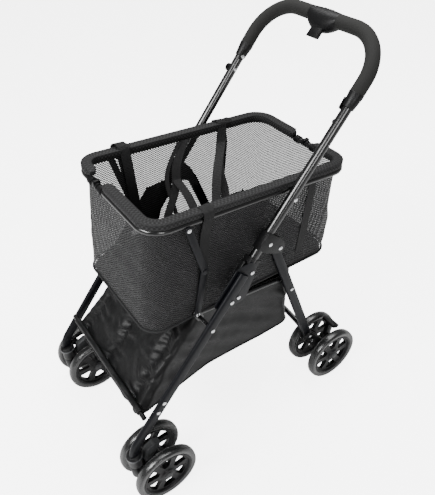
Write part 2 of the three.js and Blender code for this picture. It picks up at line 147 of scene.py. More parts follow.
def group(name, numbers, build):
    """A node group from Vector, Color, Roughness and numbers to Color, Roughness, Height, Mask."""
    tree = bpy.data.node_groups.new(name, "ShaderNodeTree")
    for way, kind, sockets in (
        ("INPUT", "Vector", ("Vector",)), ("INPUT", "Color", ("Color",)),
        ("INPUT", "Float", ("Roughness", *numbers)), ("OUTPUT", "Color", ("Color",)),
        ("OUTPUT", "Float", ("Roughness", "Height", "Mask"))
    ):
        for socket in sockets:
            tree.interface.new_socket(socket, in_out=way, socket_type=f"NodeSocket{kind}")
    entry = tree.nodes.new("NodeGroupInput")
    leave = tree.nodes.new("NodeGroupOutput")
    feed(tree, leave, build(tree, entry.outputs))
    leave.location = (len(tree.nodes) * 190, 0)
    return tree


def clouds(tree, given, scale, detail, **more):
    """Soft noise over the given vector."""
    inputs = {"Vector": given["Vector"], "Scale": scale, "Detail": detail, **more}
    return put(tree, "ShaderNodeTexNoise", inputs).outputs[0]


def ranged(tree, value, ends):
    """A value moved from its From Min and From Max, 0 and 1 if not given, to To Min and To Max."""
    return put(tree, "ShaderNodeMapRange", {"Value": value, **ends}).outputs[0]


def maths(tree, operation, a, b=0.0, clamp=False):
    return put(
        tree, "ShaderNodeMath", {0: a, 1: b}, operation=operation, use_clamp=clamp
    ).outputs[0]


def shaded(tree, color, amount, low, high):
    """color darkened or lightened between low and high as amount goes from 0 to 1."""
    level = ranged(tree, amount, {"To Min": low, "To Max": high})
    inputs = {"Factor": 1.0, "A": color, "B": level}
    return put(
        tree, "ShaderNodeMix", inputs, data_type="RGBA", blend_type="MULTIPLY"
    ).outputs["Result"]


def uneven(tree, roughness, amount, spread):
    shift = ranged(tree, amount, {"To Min": -spread, "To Max": spread})
    return maths(tree, "ADD", roughness, shift, clamp=True)


def coated_metal(tree, given):
    """Enamel or powder coat: slight ripple, faint cloudiness and small rubbed spots."""
    ripple = clouds(tree, given, given["Ripple Scale"], 2.0)
    cloud = clouds(tree, given, 14.0, 4.0)
    rubbed = clouds(tree, given, 90.0, 6.0, Roughness=0.7)
    spots = ranged(tree, rubbed, {"From Min": 0.56, "From Max": 0.72})
    tone = shaded(tree, given["Color"], cloud, 0.75, 1.3)
    worn = maths(tree, "MULTIPLY", spots, given["Wear"])
    return {
        "Color": shaded(tree, tone, worn, 1.0, 2.6),
        "Roughness": uneven(tree, given["Roughness"], maths(tree, "ADD", cloud, worn), 0.08),
        "Height": ripple,
        "Mask": spots,
    }


def moulded_grain(tree, given):
    """Textured plastic, rubber or foam skin: fine cells over a soft unevenness."""
    cells = put(
        tree, "ShaderNodeTexVoronoi", {"Vector": given["Vector"], "Scale": given["Grain Scale"]}
    )
    soft = clouds(tree, given, 30.0, 5.0)
    height = maths(tree, "ADD", cells.outputs["Distance"], maths(tree, "MULTIPLY", soft, 0.6))
    return {
        "Color": shaded(tree, given["Color"], soft, 0.7, 1.35),
        "Roughness": uneven(tree, given["Roughness"], soft, 0.1),
        "Height": height,
        "Mask": cells.outputs["Distance"],
    }


def crossed_yarns(tree, given):
    """Plain weave: yarns over and under both ways of the vector, with faint creases."""
    parts = put(tree, "ShaderNodeSeparateXYZ", {"Vector": given["Vector"]}).outputs
    turns = [
        maths(
            tree, "MULTIPLY", maths(tree, "MULTIPLY", parts[i], given["Yarns per metre"]),
            2 * math.pi
        )
        for i in range(3)
    ]
    warp = maths(tree, "SINE", maths(tree, "ADD", turns[0], turns[2]))
    weft = maths(tree, "SINE", turns[1])
    weave = maths(tree, "MULTIPLY", warp, weft)
    level = ranged(tree, weave, {"From Min": -1.0})
    crease = clouds(tree, given, 22.0, 5.0, Distortion=0.6)
    tone = shaded(tree, given["Color"], level, 0.8, 1.2)
    return {
        "Color": shaded(tree, tone, crease, 0.7, 1.35),
        "Roughness": uneven(tree, given["Roughness"], crease, 0.12),
        "Height": maths(tree, "ADD", maths(tree, "MULTIPLY", level, 0.35), crease),
        "Mask": level,
    }


def open_net(tree, given):
    """Knitted net: rounded holes on a staggered grid, its raised yarn crossings painted lighter as a
    painted highlight and its low yarn painted darker as painted shade. Mask is 1 on yarn and Hole
    Haze in a hole.
    """
    parts = put(tree, "ShaderNodeSeparateXYZ", {"Vector": given["Vector"]}).outputs
    across = maths(tree, "COSINE", maths(tree, "MULTIPLY", parts[0], 2 * math.pi))
    along = maths(tree, "COSINE", maths(tree, "MULTIPLY", parts[1], 2 * math.pi))
    lattice = maths(tree, "MULTIPLY", across, along)
    inner = maths(tree, "SUBTRACT", given["Hole Edge"], 0.12)
    yarn = ranged(tree, lattice, {"From Min": given["Hole Edge"], "From Max": inner})
    haze = ranged(tree, yarn, {"To Min": given["Hole Haze"]})
    soft = clouds(tree, given, 0.12, 3.0)
    # painted highlight and shade: the colour is lightened on the raised yarn crossings and darkened
    # on the low yarn
    raised_yarn_highlight = ranged(tree, lattice, {"From Min": 0.45, "From Max": -0.9})
    tone = shaded(tree, given["Color"], raised_yarn_highlight, 0.12, 3.2)
    return {
        "Color": shaded(tree, tone, soft, 0.65, 1.4),
        "Roughness": uneven(tree, given["Roughness"], soft, 0.1),
        "Height": maths(tree, "MULTIPLY", lattice, -1.0),
        "Mask": haze,
    }


def ribbed_tape(tree, given):
    """Woven webbing: fine ribs along the vector's second part and a selvedge at each side."""
    parts = put(tree, "ShaderNodeSeparateXYZ", {"Vector": given["Vector"]}).outputs
    rib = maths(
        tree, "SINE",
        maths(tree, "MULTIPLY", parts[1], maths(tree, "MULTIPLY", given["Ribs"], 2 * math.pi))
    )
    level = ranged(tree, rib, {"From Min": -1.0})
    edge = maths(
        tree, "GREATER_THAN", maths(tree, "ABSOLUTE", maths(tree, "SUBTRACT", parts[0], 0.5)), 0.42
    )
    fuzz = clouds(tree, given, 9.0, 5.0)
    tone = shaded(tree, given["Color"], level, 0.75, 1.25)
    return {
        "Color": shaded(tree, tone, fuzz, 0.7, 1.3),
        "Roughness": uneven(tree, given["Roughness"], fuzz, 0.1),
        "Height": maths(tree, "ADD", level, maths(tree, "MULTIPLY", edge, 0.6)),
        "Mask": level,
    }


GROUPS = {
    "coated metal": group("coated metal", ("Ripple Scale", "Wear"), coated_metal),
    "moulded grain": group("moulded grain", ("Grain Scale",), moulded_grain),
    "crossed yarns": group("crossed yarns", ("Yarns per metre",), crossed_yarns),
    "open net": group("open net", ("Hole Edge", "Hole Haze"), open_net),
    "ribbed tape": group("ribbed tape", ("Ribs",), ribbed_tape),
}


def finish(name, slot, effect, color, roughness, bump, depth, scale=(1, 1, 1), by_uv=False,
           see_through=False, metallic=0.0, sheen=0.0, gloss=0.3, **numbers):
    """A material made from one of the groups, with the record's slot that it stands for."""
    made = bpy.data.materials.new(name)
    made.use_nodes = True
    tree = made.node_tree
    shader = tree.nodes["Principled BSDF"]
    place = put(tree, "ShaderNodeTexCoord").outputs["UV" if by_uv else "Object"]
    place = put(tree, "ShaderNodeMapping", {"Vector": place, "Scale": scale}).outputs[0]
    values = {key.replace("_", " "): value for key, value in numbers.items()}
    look = put(tree, "ShaderNodeGroup", node_tree=GROUPS[effect])
    feed(tree, look, {"Vector": place, "Color": (*color, 1), "Roughness": roughness, **values})
    relief = put(
        tree, "ShaderNodeBump",
        {"Height": look.outputs["Height"], "Strength": bump, "Distance": depth}
    )
    feed(
        tree, shader,
        {
            "Metallic": metallic, "Specular IOR Level": gloss, "Sheen Weight": sheen,
            "Sheen Roughness": 0.5, "Base Color": look.outputs["Color"],
            "Roughness": look.outputs["Roughness"], "Normal": relief.outputs[0]
        }
    )
    if see_through:
        feed(tree, shader, {"Alpha": look.outputs["Mask"]})
    return made, slot


def metal(name, slot, color, roughness, **more):
    numbers = {"Ripple_Scale": 260.0, "Wear": 0.35, **more}
    return finish(name, slot, "coated metal", color, roughness, 0.05, 0.0002, **numbers)


def grained(name, slot, color, roughness, grain, **more):
    return finish(
        name, slot, "moulded grain", color, roughness, 0.3, 0.0003, Grain_Scale=grain, **more
    )


def woven(name, slot, color, roughness, bump, depth, yarns, **more):
    return finish(
        name, slot, "crossed yarns", color, roughness, bump, depth, Yarns_per_metre=yarns, **more
    )


GLOSS = metal(
    "gloss black enamel", "gloss_paint", (0.0015, 0.0015, 0.0017), 0.25, gloss=0.7, Wear=0.05
)
SATIN = metal(
    "blue-black powder coat", "satin_paint", (0.0016, 0.0019, 0.0034), 0.42, gloss=0.22,
    Ripple_Scale=900.0
)
RIVET = metal("bright zinc rivet", "steel", (0.78, 0.79, 0.80), 0.24, metallic=1.0, Wear=0.0)
DULL_RIVET = metal("blackened rivet", "satin_paint", (0.02, 0.02, 0.022), 0.35, metallic=0.6)
PLASTIC = grained(
    "black moulded plastic", "black_plastic", (0.0020, 0.0020, 0.0023), 0.42, 1500.0, gloss=0.25
)
GREY_PLASTIC = grained("grey moulded plastic", "grey_plastic", (0.030, 0.031, 0.032), 0.5, 1500.0)
SILVER_TRIM = grained("pale grey trim", "steel", (0.07, 0.072, 0.075), 0.35, 1200.0)
FOAM = grained("foam grip", "grip_foam", (0.0120, 0.0120, 0.0113), 0.85, 800.0, sheen=0.02)
TYRE = grained("tyre tread rubber", "tyre", (0.0060, 0.0063, 0.0063), 0.27, 1100.0, gloss=0.9)
NYLON = woven(
    "coated black nylon", "nylon", (0.0010, 0.0011, 0.0013), 0.43, 0.35, 0.0008, 700.0, gloss=0.28,
    sheen=0.01
)
PAD_CLOTH = woven("pad cloth", "nylon", (0.010, 0.010, 0.011), 0.8, 0.3, 0.0006, 380.0, sheen=0.03)
BINDING = woven("bias binding", "mesh_fabric", (0.012, 0.012, 0.0125), 0.75, 0.4, 0.0004, 900.0)
TAPE = finish(
    "black webbing", "nylon", "ribbed tape", (0.0022, 0.0022, 0.0024), 0.6, 0.5, 0.0005, by_uv=True,
    Ribs=1.0
)


def net(name, color, round_it, height, pitch, edge, see_through=True):
    """Open net for a piece whose UVs run once round it and once up it."""
    holes = (round(round_it / pitch), round(height / pitch / 0.75), 1)
    return finish(name, "mesh_fabric", "open net", color, 0.7, 0.5, 0.0006, scale=holes, by_uv=True,
                  see_through=see_through, sheen=0.02, Hole_Edge=edge, Hole_Haze=0.72)


# ---------- making pieces ----------
def only(piece):
    """Selects this piece alone."""
    if bpy.context.mode != "OBJECT":
        bpy.ops.object.mode_set(mode="OBJECT")
    bpy.ops.object.select_all(action="DESELECT")
    piece.select_set(True)
    bpy.context.view_layer.objects.active = piece


def clear():
    bpy.ops.object.select_all(action="DESELECT")


def opened(piece):
    """Opens a piece in edit mode with all of it selected."""
    only(piece)
    bpy.ops.object.mode_set(mode="EDIT")
    bpy.ops.mesh.select_all(action="SELECT")


def shut():
    bpy.ops.object.mode_set(mode="OBJECT")


def settled(piece):
    """Moves a piece's place, turn and size into its mesh."""
    only(piece)
    bpy.ops.object.transform_apply(location=True, rotation=True, scale=True)
    return piece


def modified(piece, kind, **settings):
    """Adds a modifier and applies it."""
    only(piece)
    modifier = piece.modifiers.new(kind.lower(), kind)
    for key, value in settings.items():
        setattr(modifier, key, value)
    bpy.ops.object.modifier_apply(modifier=modifier.name)
    return piece


def eased(piece, width, segments=2):
    """Breaks the sharp edges of a hard piece."""
    return modified(piece, "BEVEL", width=width, segments=segments, limit_method="ANGLE",
                    angle_limit=math.radians(35), use_clamp_overlap=True)


def keep(piece, name, body, look, replaces=(), smooth=35):
    """Names a piece, gives it its material, and fixes it to its body."""
    settled(piece)
    material, slot = look
    piece.name = piece.data.name = name
    piece.data.materials.clear()
    piece.data.materials.append(material)
    bpy.ops.object.shade_smooth_by_angle(angle=math.radians(smooth))
    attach(piece, body)
    if replaces:
        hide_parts(*replaces)
    return piece


def copy_of(piece, matrix):
    made = piece.copy()
    made.data = piece.data.copy()
    bpy.context.scene.collection.objects.link(made)
    made.matrix_world = matrix @ piece.matrix_world
    return made


def joined(pieces):
    only(pieces[0])
    for piece in pieces:
        piece.select_set(True)
    bpy.ops.object.join()
    return bpy.context.object


def tidy(piece, distance=1e-6):
    """Merges doubled points and turns every face outwards."""
    opened(piece)
    bpy.ops.mesh.remove_doubles(threshold=distance)
    bpy.ops.mesh.normals_make_consistent(inside=False)
    shut()
    return piece


def capped(piece):
    """Closes a tube's open ends and turns every face outwards."""
    opened(piece)
    bpy.ops.mesh.fill_holes(sides=0)
    bpy.ops.mesh.normals_make_consistent(inside=False)
    shut()
    return piece


def lumps(x, y, z):
    """Smooth unevenness, the same on every run."""
    return noise.noise(Vector((x, y, z)))


def rounded(corners, radius, steps=10, closed=False):
    """The points of a path of straight runs with its corners turned on arcs."""
    out = []
    last = len(corners) - 1
    for i, corner in enumerate(corners):
        if not closed and i in (0, last):
            out.append(Vector(corner))
            continue
        corner = Vector(corner)
        back = (Vector(corners[i - 1]) - corner).normalized()
        ahead = (Vector(corners[(i + 1) % (last + 1)]) - corner).normalized()
        half = back.angle(ahead) / 2
        reach = radius / math.tan(half)
        centre = corner + (back + ahead).normalized() * (radius / math.sin(half))
        start, end = corner + back * reach - centre, corner + ahead * reach - centre
        turn = start.angle(end)
        for k in range(steps + 1):
            t = k / steps
            out.append(
                centre + (start * math.sin((1 - t) * turn) + end * math.sin(t * turn))
                / math.sin(turn)
            )
    return out


def bent_tube(points, radius, closed=False, sides=6):
    """A round tube drawn along a path, its ends capped."""
    curve = bpy.data.curves.new("tube path", "CURVE")
    curve.dimensions = "3D"
    curve.bevel_depth = radius
    curve.bevel_resolution = sides
    curve.use_fill_caps = not closed
    line = curve.splines.new("POLY")
    line.points.add(len(points) - 1)
    for point, place in zip(line.points, points):
        point.co = (*place, 1)
    line.use_cyclic_u = closed
    piece = bpy.data.objects.new("tube", curve)
    bpy.context.scene.collection.objects.link(piece)
    only(piece)
    bpy.ops.object.convert(target="MESH")
    return tidy(bpy.context.object)


def wrapped(across, along, place, closed_across=False, closed_along=False):
    """A flat grid with its UVs, laid over the shape that place(u, v) gives."""
    clear()
    bpy.ops.mesh.primitive_grid_add(
        x_subdivisions=across, y_subdivisions=along, size=1, calc_uvs=True
    )
    piece = bpy.context.object
    for vertex in piece.data.vertices:
        vertex.co = place(min(1.0, vertex.co.x + 0.5), min(1.0, vertex.co.y + 0.5))
    if closed_across or closed_along:
        tidy(piece)
    return piece


def outline(points, corner, steps=4):
    """A flat face with rounded corners from its outline."""
    clear()
    bpy.ops.mesh.primitive_circle_add(vertices=len(points), radius=1, fill_type="NGON")
    piece = bpy.context.object
    for vertex, point in zip(piece.data.vertices, points):
        vertex.co = point
    opened(piece)
    if corner:
        bpy.ops.mesh.bevel(offset=corner, segments=steps, affect="VERTICES", clamp_overlap=True)
    return piece


def plate(points, x0, x1, corner=0.004, ease=0.0008, steps=4):
    """A flat plate across X from its outline in (y, z)."""
    piece = outline([(x0, y, z) for y, z in points], corner, steps)
    bpy.ops.mesh.extrude_region_move(TRANSFORM_OT_translate={"value": (x1 - x0, 0, 0)})
    shut()
    tidy(piece)
    return eased(piece, ease) if ease else piece


def disc(centre, radius, x0, x1, top=None, sides=28):
    """A short round boss along X, narrowed to top at its x1 end and domed by insets."""
    clear()
    way = 1 if x1 > x0 else -1
    bpy.ops.mesh.primitive_cylinder_add(
        vertices=sides, radius=radius, depth=abs(x1 - x0), location=((x0 + x1) / 2, *centre),
        rotation=(0, way * math.pi / 2, 0),
    )
    piece = settled(bpy.context.object)
    for face in piece.data.polygons:
        face.select = face.normal.x * way > 0.9
    bpy.ops.object.mode_set(mode="EDIT")
    bpy.ops.mesh.select_mode(type="FACE")
    step = radius - (top or radius * 0.62)
    bpy.ops.mesh.inset(thickness=step, depth=0)
    bpy.ops.transform.translate(value=(way * step * 0.55, 0, 0))
    bpy.ops.mesh.inset(thickness=(radius - step) * 0.55, depth=0)
    bpy.ops.transform.translate(value=(way * step * 0.25, 0, 0))
    shut()
    return piece


def dressed(node, name, body, look, ease, segments=2):
    """A CAD node's own shape with its planes merged and its edges eased."""
    source = frame["nodes"][node]
    piece = bpy.data.objects.new(name, source.data.copy())
    bpy.context.scene.collection.objects.link(piece)
    opened(piece)
    bpy.ops.mesh.remove_doubles(threshold=2e-5)
    bpy.ops.mesh.dissolve_limited(angle_limit=math.radians(2))
    shut()
    eased(piece, ease, segments)
    return keep(piece, name, body, look, (node,), 40)


# ---------- the leaning tube's own directions ----------
LEAN = math.radians(41.47)
COLLAR = Vector((0.268, 0.842))
TUBE_X, TUBE_R = 0.182, 0.0105


def along(s, w=0.0):
    """(y, z) of a point s up the tube from the grip's lower end and w behind its axis."""
    return (
        COLLAR.x + s * math.sin(LEAN) + w * math.cos(LEAN),
        COLLAR.y + s * math.cos(LEAN) - w * math.sin(LEAN),
    )


def on_tube(x, s, w=0.0):
    return Vector((x, *along(s, w)))


REACH, CORNER, FOOT = 0.133, 0.092, -0.438
GRIP_R, POD_HALF = 0.0158, 0.044


def handle():
    path = rounded(
        [
            on_tube(TUBE_X, FOOT), on_tube(TUBE_X, REACH), on_tube(-TUBE_X, REACH),
            on_tube(-TUBE_X, FOOT)
        ],
        CORNER, 20
    )
    tube = bent_tube(path, TUBE_R, sides=8)
    keep(tube, "upper_tube", "handle_frame", GLOSS, ("handle_bar",))
    centre = along(-0.052)
    stud = joined([
        disc(centre, 0.0075, -0.1900, -0.1975, 0.006),
        disc(centre, 0.0095, -0.1965, -0.2005, 0.0075),
    ])
    keep(stud, "accessory_stud", "handle_frame", PLASTIC)

    for name, side in SIDES:
        bend = rounded(
            [
                on_tube(side * TUBE_X, 0.013), on_tube(side * TUBE_X, REACH),
                on_tube(side * 0.036, REACH)
            ],
            CORNER, 20
        )
        grip = bent_tube(bend, GRIP_R, sides=8)
        eased(grip, 0.002, 2)
        keep(grip, f"foam_grip_{name}", "handle_frame", FOAM, (f"handle_grip_{name}",), 50)

        clear()
        low, high = on_tube(side * TUBE_X, -0.018), on_tube(side * TUBE_X, 0.0155)
        axis = (high - low).normalized()
        bpy.ops.mesh.primitive_cone_add(
            vertices=32, radius1=0.0127, radius2=0.0166, depth=(high - low).length,
            location=(low + high) / 2, rotation=axis.to_track_quat("Z", "Y").to_euler()
        )
        cone = eased(settled(bpy.context.object), 0.0012, 3)
        tongue = plate(
            [along(-0.026, -0.010), along(-0.026, 0.002), along(0.0, 0.008), along(0.0, -0.012)],
            side * 0.1705, side * 0.1680, 0.004
        )
        keep(joined([cone, tongue]), f"grip_cone_{name}", "handle_frame", PLASTIC,
             (f"grip_collar_{name}",), 40)

    def bulge(u, v):
        x = (2 * u - 1) * POD_HALF
        fall = max(0.0, 1 - (abs(x) / POD_HALF) ** 2.6)
        turn = 2 * math.pi * v
        up, back = math.cos(turn), math.sin(turn)
        s = REACH - 0.007 * fall + up * (0.0155 + (0.0090 if up > 0 else 0.0115) * fall)
        w = back * (GRIP_R + 0.0032 * fall)
        if abs(x) > 0.0432:
            s, w = REACH + (s - REACH) * 0.94, w * 0.94
        return on_tube(x, s, w)

    pod = capped(wrapped(36, 32, bulge, closed_along=True))
    keep(tidy(pod), "handle_casing", "handle_frame", PLASTIC, ("handle_pod",), 60)

    ridge = []
    for x in (-0.014, -0.006, 0.002, 0.010):
        clear()
        bpy.ops.mesh.primitive_cube_add(
            size=1, location=on_tube(x, REACH + 0.0172, 0.002), scale=(0.005, 0.008, 0.003),
            rotation=(-LEAN, 0, 0)
        )
        ridge.append(eased(settled(bpy.context.object), 0.001))
    keep(joined(ridge), "casing_thumb_ridges", "handle_frame", PLASTIC)

    lever = plate(
        [along(0.112, -0.010), along(0.112, -0.002), along(0.083, -0.003), along(0.080, -0.012)],
        -0.014, 0.018, 0.0015, 0.0014
    )
    stem = plate(
        [along(0.118, -0.006), along(0.118, 0.004), along(0.104, 0.002), along(0.104, -0.008)],
        -0.008, 0.012, 0.001, 0.0008
    )
    keep(joined([lever, stem]), "fold_paddle", "release_paddle", PLASTIC, ("release_paddle",), 40)


# ---------- rivets ----------
def rivet(centre, x, way, radius=0.0048):
    return disc(centre, radius, x, x + way * 0.0016, radius * 0.66, 20)


def rivets():
    both = {
        "front_frame": [
            ((-0.114, 0.436), 0.209, 1), ((-0.254, 0.289), 0.209, 1), ((-0.272, 0.268), 0.209, 1),
            ((-0.061, 0.490), 0.209, 1), ((0.004, 0.531), 0.1956, 1), ((-0.034, 0.479), 0.1956, 1)
        ],
        "handle_frame": [
            ((0.053, 0.585), 0.1955, 1), ((0.081, 0.561), 0.1955, 1), ((0.121, 0.669), 0.1915, 1),
            (along(-0.017, -0.004), 0.1682, -1), (along(-0.052, -0.002), 0.1722, -1),
            (along(-0.230, 0.0), 0.1722, -1)
        ],
        "rear_frame": [
            ((0.144, 0.378), 0.1705, 1), ((0.216, 0.158), 0.178, 1), ((0.223, 0.136), 0.178, 1),
            ((0.144, 0.378), 0.1575, -1)
        ],
        "strut_upper": [((-0.125, 0.693), 0.170, 1)], "strut_lower": [((-0.123, 0.457), 0.1666, 1)]
    }
    for body, places in both.items():
        heads = [rivet(yz, side * x, side * way) for yz, x, way in places for _, side in SIDES]
        keep(joined(heads), f"{body}_rivets", body, RIVET)
    heads = [rivet((-0.097, 0.572), side * 0.170, side, 0.0055) for _, side in SIDES]
    keep(joined(heads), "strut_knee_rivets", "strut_upper", DULL_RIVET)


# ---------- front frame, struts and rear frame ----------
def bar_along(points, thick, deep, x):
    """A flat oval bar whose middle follows points in (y, z)."""
    flat = deep / 2 - thick / 2
    ring = []
    for k in range(24):
        turn = 2 * math.pi * (k + 0.5) / 24
        end = math.copysign(flat, math.sin(turn))
        ring.append((thick / 2 * math.cos(turn), thick / 2 * math.sin(turn) + end))
    ring.append(ring[0])
    points = [Vector((p.y, p.z)) for p in points]
    ways = [
        (points[min(i + 1, len(points) - 1)] - points[max(i - 1, 0)]).normalized()
        for i in range(len(points))
    ]

    def place(u, v):
        i = round(v * (len(points) - 1))
        a, b = ring[round(u * 24)]
        return Vector((x + a, points[i].x + b * ways[i].y, points[i].y - b * ways[i].x))

    return capped(wrapped(24, len(points) - 1, place, closed_across=True))


def front_frame():
    foot_y = pivot["caster_swivel_left"].y
    bend = 0.546 - (-0.022 - foot_y) / math.tan(LEAN)
    for name, side in SIDES:
        path = rounded([(0, -0.022, 0.546), (0, foot_y, bend), (0, foot_y, 0.160)], 0.07, 12)
        leg = bar_along(path, 0.013, 0.025, side * 0.2025)
        keep(leg, f"front_leg_tube_{name}", "front_frame", SATIN, (f"front_leg_{name}",), 60)
        bracket = plate(
            [
                (-0.062, 0.530), (-0.036, 0.560), (0.006, 0.562), (0.015, 0.545), (0.010, 0.518),
                (-0.016, 0.466), (-0.044, 0.462), (-0.072, 0.474), (-0.094, 0.478), (-0.098, 0.490)
            ],
            side * 0.1932, side * 0.1956, 0.006, 0.0006
        )
        keep(bracket, f"hinge_plate_{name}", "front_frame", SATIN, (f"fold_bracket_{name}",))
        ring = disc((0, 0), 0.0195, 0, 0.004, 0.0175, 40)
        ring.rotation_euler = (0, -math.pi / 2, 0)
        ring.location = (side * 0.199, foot_y, 0.149)
        keep(ring, f"swivel_washer_{name}", "front_frame", SILVER_TRIM)
        for node, piece, body, look, *edge in (
            ("caster_socket", "swivel_socket", "front_frame", PLASTIC, 0.001),
            ("caster_fork", "wheel_fork", f"caster_{name}", PLASTIC, 0.0018),
            ("caster_lock", "swivel_lock", f"caster_lock_{name}", GREY_PLASTIC, 0.002, 3),
            ("strut_upper", "upper_link", "strut_upper", SATIN, 0.0008),
            ("strut_lower", "lower_link", "strut_lower", SATIN, 0.0008),
            ("tube_socket", "tube_shoe", "handle_frame", PLASTIC, 0.0015),
            ("leg_mount", "leg_clamp", "handle_frame", PLASTIC, 0.002),
            ("fold_lock", "sliding_lock", f"fold_lock_{name}", PLASTIC, 0.0015),
            ("rear_leg", "rear_leg_tube", "rear_frame", SATIN, 0.0042, 4),
            ("rear_bracket", "axle_bracket", "rear_frame", PLASTIC, 0.0015),
            ("brake_pedal", "brake_lever", f"brake_pedal_{name}", PLASTIC, 0.002, 3),
        ):
            dressed(f"{node}_{name}", f"{piece}_{name}", body, look, *edge)
    rod = bent_tube([Vector((-0.1955, -0.302, 0.256)), Vector((0.1955, -0.302, 0.256))], 0.006)
    keep(rod, "front_cross_rod", "front_frame", (GLOSS[0], "satin_paint"), ("front_crossbar",))
    shares = [(k - 12) / 12 for k in range(25)]
    arch = [Vector((share * 0.156, 0.206, 0.196 - 0.016 * abs(share) ** 2.2)) for share in shares]
    keep(bent_tube(arch, 0.0075), "rear_arch", "rear_frame", GLOSS, ("rear_crossbar",))


def base_loop():
    front, rear = (-0.108, 0.439), (0.176, 0.400)
    path = rounded([(0.147, *front), (0.147, *rear), (-0.147, *rear), (-0.147, *front)], 0.058, 14)
    pieces = [bent_tube(path, 0.007, sides=8)]
    base, strut = pivot["base_fold"], pivot["strut_lower_fold"]
    for _, side in SIDES:
        lean = (Vector((strut.y - base.y, strut.z - base.z))).normalized() * 0.009
        out = Vector((lean.y, -lean.x))
        a, b = Vector((base.y, base.z)) - lean, Vector((strut.y, strut.z)) + lean
        pieces.append(
            plate([a + out, b + out, b - out, a - out], side * 0.1545, side * 0.1628, 0.007)
        )
        pieces.append(disc((base.y, base.z), 0.005, side * 0.158, side * 0.1950, 0.004))
        pieces.append(plate([(0.137, 0.371), (0.151, 0.371), (0.151, 0.410), (0.137, 0.410)],
                            side * 0.150, side * 0.157, 0.005))
    keep(joined(pieces), "base_loop", "base_frame", GLOSS, ("base_bar",))


# ---------- wheels ----------
def turned(profile, steps, name):
    """A ring turned about X from a closed profile of (x, radius)."""
    clear()
    bpy.ops.mesh.primitive_circle_add(vertices=len(profile), radius=1, fill_type="NOTHING")
    piece = bpy.context.object
    for vertex, (x, r) in zip(piece.data.vertices, profile):
        vertex.co = (x, 0, r)
    opened(piece)
    bpy.ops.mesh.spin(steps=steps, angle=2 * math.pi, center=(0, 0, 0), axis=(1, 0, 0))
    shut()
    piece.name = name
    return tidy(piece, 2e-5)


def mm(profile):
    return [(x / 1000, r / 1000) for x, r in profile]


def tyre_shape():
    half = [
        (9.8, 65.2), (11.4, 68), (12, 72), (11.8, 75), (10.9, 77.0), (10.2, 77.6), (9.7, 77.2),
        (9.1, 78.2), (8.2, 78.7), (7.7, 78.2), (7.1, 79.0), (5.8, 79.4), (3.2, 79.85)
    ]
    profile = half + [(0, 80)] + [(-x, r) for x, r in reversed(half)]
    return turned(mm(profile), 72, "tyre")


def hub_shape():
    profile = [
        (-9.6, 64.8), (9.6, 64.8), (10.6, 63), (10.2, 60.5), (8.6, 58.8), (5.2, 57.4), (4.4, 50),
        (5.4, 26), (7.2, 18.5), (10.6, 16.6), (11.4, 14.5), (11.4, 4.5), (-11.4, 4.5),
        (-11.4, 14.5), (-10.6, 16.6), (-7.2, 18.5), (-5.4, 26), (-5.8, 50), (-6.2, 57.4),
        (-8.6, 58.8), (-10.2, 60.5), (-10.6, 63)
    ]
    web = turned(mm(profile), 60, "hub")
    windows = []
    for k in range(6):
        middle = math.radians(60 * k)
        corners = []
        for r, half in ((0.0255, 13.5), (0.0545, 20)):
            for turn in ((-half, 0, half) if r > 0.03 else (half, -half)):
                a = middle + math.radians(turn)
                corners.append((-0.02, r * math.sin(a), r * math.cos(a)))
        cutter = outline(corners, 0.003, 3)
        bpy.ops.mesh.extrude_region_move(TRANSFORM_OT_translate={"value": (0.04, 0, 0)})
        shut()
        windows.append(tidy(cutter))
    cutter = joined(windows)
    modified(web, "BOOLEAN", object=cutter, operation="DIFFERENCE", solver="EXACT")
    bpy.data.objects.remove(cutter)
    return eased(web, 0.0006, 1)


def wheels():
    tyre, hub = tyre_shape(), hub_shape()
    for end in ("front", "rear"):
        for name, side in SIDES:
            for place, way in (("outer", 1), ("inner", -1)):
                wheel = f"{end}_{name}_{place}"
                centre = pivot[f"{wheel}_spin"]
                spot = Matrix.Translation(centre)
                keep(
                    copy_of(tyre, spot), f"{wheel}_tread", f"{wheel}_wheel", TYRE,
                    (f"{wheel}_tyre",), 28
                )
                rim = copy_of(hub, spot)
                if side * way < 0:
                    rim.matrix_world = Matrix.Translation(centre) @ Matrix.Rotation(math.pi, 4, "Z")
                keep(rim, f"{wheel}_spoked_rim", f"{wheel}_wheel", PLASTIC, (f"{wheel}_hub",), 30)
                x = centre.x + side * way * 0.0114
                cap = disc((centre.y, centre.z), 0.0098, x, x + side * way * 0.0016, 0.0075, 32)
                keep(cap, f"{wheel}_hub_cap", f"{wheel}_wheel", GREY_PLASTIC)
    for spare in (tyre, hub):
        bpy.data.objects.remove(spare)


# ---------- carrier ----------
TILT = math.radians(-5.6)
RIM_HALF = (0.160, 0.256)
RIM_CORNER = 0.044
RIM_Y, RIM_Z = 0.048, 0.685


def on_rim(x, y, z=0.0):
    """A point of the tilted rim's own frame."""
    lean, rise = math.sin(TILT), math.cos(TILT)
    return Vector((x, RIM_Y + y * rise - z * lean, RIM_Z + y * lean + z * rise))


def round_loop(half_x, half_y, corner, t):
    """(x, y, outward x, outward y) at share t of a rounded rectangle, from its front towards +X."""
    sx, sy, arc = half_x - corner, half_y - corner, corner * math.pi / 2
    total = 4 * (sx + sy) + 4 * arc
    d = (t % 1.0) * total
    for length, x, y, turn in (
        (sx, 0, -half_y, -90), (arc, sx, -sy, None), (2 * sy, half_x, -sy, 0), (arc, sx, sy, None),
        (2 * sx, sx, half_y, 90), (arc, -sx, sy, None), (2 * sy, -half_x, sy, 180),
        (arc, -sx, -sy, None), (sx, -sx, -half_y, -90)
    ):
        if d <= length + 1e-12:
            break
        d -= length
    if turn is not None:
        a = math.radians(turn)
        return x - math.sin(a) * d, y + math.cos(a) * d, math.cos(a), math.sin(a)
    start = {(1, -1): -90, (1, 1): 0, (-1, 1): 90, (-1, -1): 180}[(x > 0) * 2 - 1, (y > 0) * 2 - 1]
    a = math.radians(start) + d / corner
    return x + corner * math.cos(a), y + corner * math.sin(a), math.cos(a), math.sin(a)


